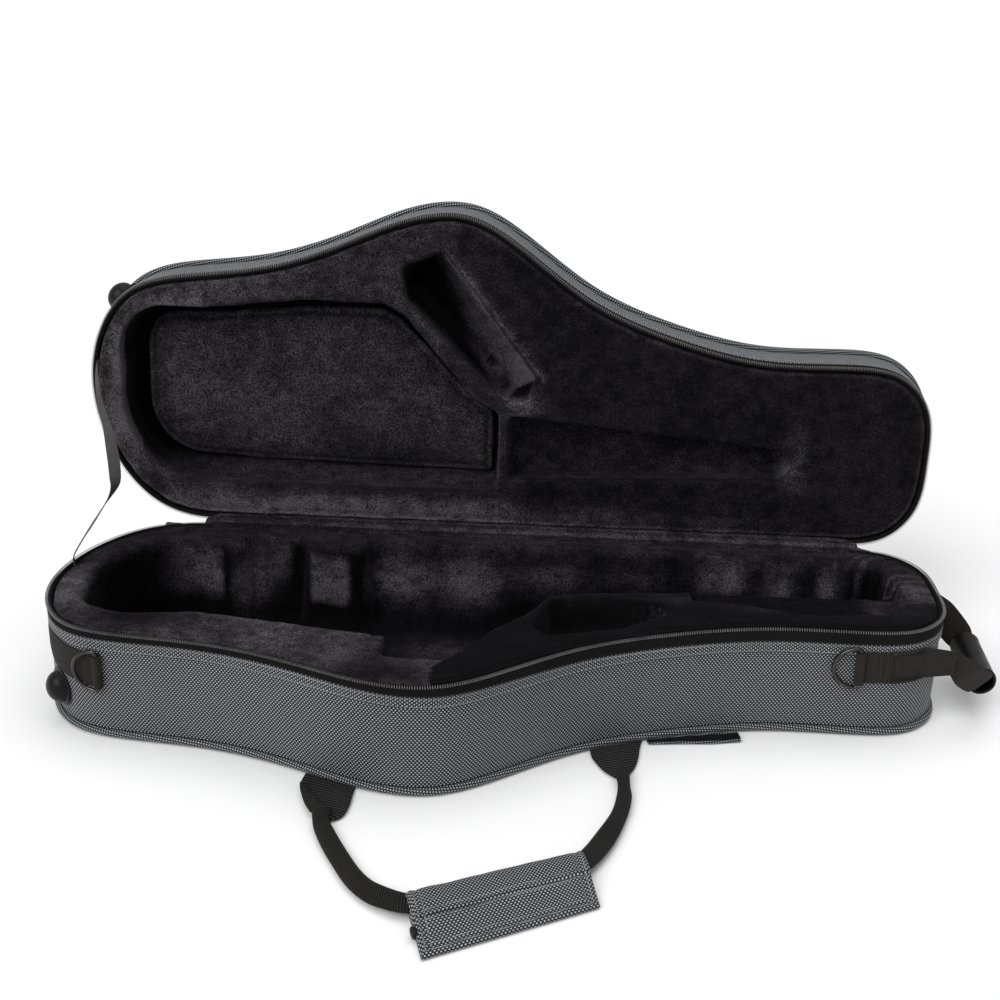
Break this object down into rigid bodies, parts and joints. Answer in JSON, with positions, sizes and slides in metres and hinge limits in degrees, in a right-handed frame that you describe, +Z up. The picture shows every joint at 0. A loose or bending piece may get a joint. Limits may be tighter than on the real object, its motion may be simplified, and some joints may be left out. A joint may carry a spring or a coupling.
{
  "type": "alto saxophone case",
  "caption": "Zippered contoured soft-shell saxophone case, open, with moulded plush liner, hinged lid, wrapped carrying handle, end grab handle and shoulder-strap rings.",
  "frame": {"origin": "middle of the flat face of the back panel that the case rests on, at floor level", "axes": "+X along the case towards the mouthpiece end with the grab handle, +Y towards the hinge, +Z up; the lid stands open about the hinge at +Y and the carrying handle lies at -Y"},
  "size_m": [0.7069, 0.5009, 0.3342],
  "materials": {
    "weave": "coarse ballistic weave, dull",
    "plush": "crushed plush, soft sheen",
    "webbing": "ribbed webbing, dull",
    "zipper": "woven tape with a coil, dull",
    "rubber": "satin",
    "nickel": "black nickel, polished",
    "ribbon": "smooth ribbon"
  },
  "bodies": {
    "base": {"base_bell_foam": "plush", "base_bottom_panel": "weave", "base_end_foam": "plush", "base_floor_pad": "plush", "base_foot_front": "rubber", "base_foot_rear": "rubber", "base_front_foam": "plush", "base_hem_band": "weave", "base_hinge_foam": "plush", "base_hinge_tape": "webbing", "base_piping": "weave", "base_side_wall": "weave", "base_zipper_half": "zipper", "grab_patch_front": "webbing", "grab_patch_rear": "webbing", "handle_tab_left": "webbing", "handle_tab_right": "webbing", "left_band": "webbing", "pleated_tab": "webbing", "ring_keeper_left": "webbing", "ring_keeper_right": "webbing", "slider_left": "nickel", "slider_right": "nickel", "stay_strap": "ribbon"},
    "lid": {"bell_pad": "plush", "lid_bell_foam": "plush", "lid_end_foam": "plush", "lid_floor_pad": "plush", "lid_foot_front": "rubber", "lid_foot_rear": "rubber", "lid_front_foam": "plush", "lid_handle_tab_left": "webbing", "lid_handle_tab_right": "webbing", "lid_hem_band": "weave", "lid_hinge_foam": "plush", "lid_hinge_tape": "webbing", "lid_piping": "weave", "lid_side_wall": "weave", "lid_top_panel": "weave", "lid_zipper_half": "zipper"},
    "handle": {"handle_strap": "webbing", "handle_grip": "weave", "handle_snap": "rubber"},
    "lid_handle": {"lid_handle_strap": "webbing"},
    "grab_handle": {"grab_handle_strap": "webbing", "grab_handle_grip": "rubber"},
    "d_ring_left": {"d_ring_left": "nickel"},
    "d_ring_right": {"d_ring_right": "nickel"},
    "zip_pull_left": {"pull_left": "nickel"},
    "zip_pull_right": {"pull_right": "nickel"},
    "edge_flap": {"edge_flap": "weave"}
  },
  "joints": [
    {"name": "lid_hinge", "type": "hinge", "parent": "base", "child": "lid", "pos_m": [0, 0.125, 0.0852], "axis": [1, 0, 0], "range_deg": [0, 97], "deforming": ["stay_strap"]},
    {"name": "handle_swing", "type": "hinge", "parent": "base", "child": "handle", "pos_m": [-0.10428, -0.1545, 0.0069], "axis": [-0.951, -0.3091, 0], "range_deg": [0, 80]},
    {"name": "lid_handle_swing", "type": "hinge", "parent": "lid", "child": "lid_handle", "pos_m": [-0.10362, 0.20985, 0.27326], "axis": [0.9708, -0.0292, -0.2381], "range_deg": [-5, 150]},
    {"name": "grab_handle_swing", "type": "hinge", "parent": "base", "child": "grab_handle", "pos_m": [0.334, 0.0475, 0.0565], "axis": [0, -1, 0], "range_deg": [0, 100]},
    {"name": "d_ring_left_swing", "type": "hinge", "parent": "base", "child": "d_ring_left", "pos_m": [-0.27384, -0.07034, 0.0535], "axis": [0, 0, 1], "range_deg": [0, 150]},
    {"name": "d_ring_right_swing", "type": "hinge", "parent": "base", "child": "d_ring_right", "pos_m": [0.26322, -0.0207, 0.0565], "axis": [0, 0, 1], "range_deg": [0, 150]},
    {"name": "zip_pull_left_swing", "type": "hinge", "parent": "base", "child": "zip_pull_left", "pos_m": [-0.26603, 0.12409, 0.0787], "axis": [0.945, 0.327, 0], "range_deg": [0, 80]},
    {"name": "zip_pull_right_swing", "type": "hinge", "parent": "base", "child": "zip_pull_right", "pos_m": [0.28626, 0.12823, 0.0787], "axis": [0.9867, -0.1626, 0], "range_deg": [0, 80]},
    {"name": "edge_flap_lift", "type": "hinge", "parent": "base", "child": "edge_flap", "pos_m": [0.11386, -0.0416, 0.0018], "axis": [-0.9657, -0.2595, 0], "range_deg": [0, 60]}
  ]
}
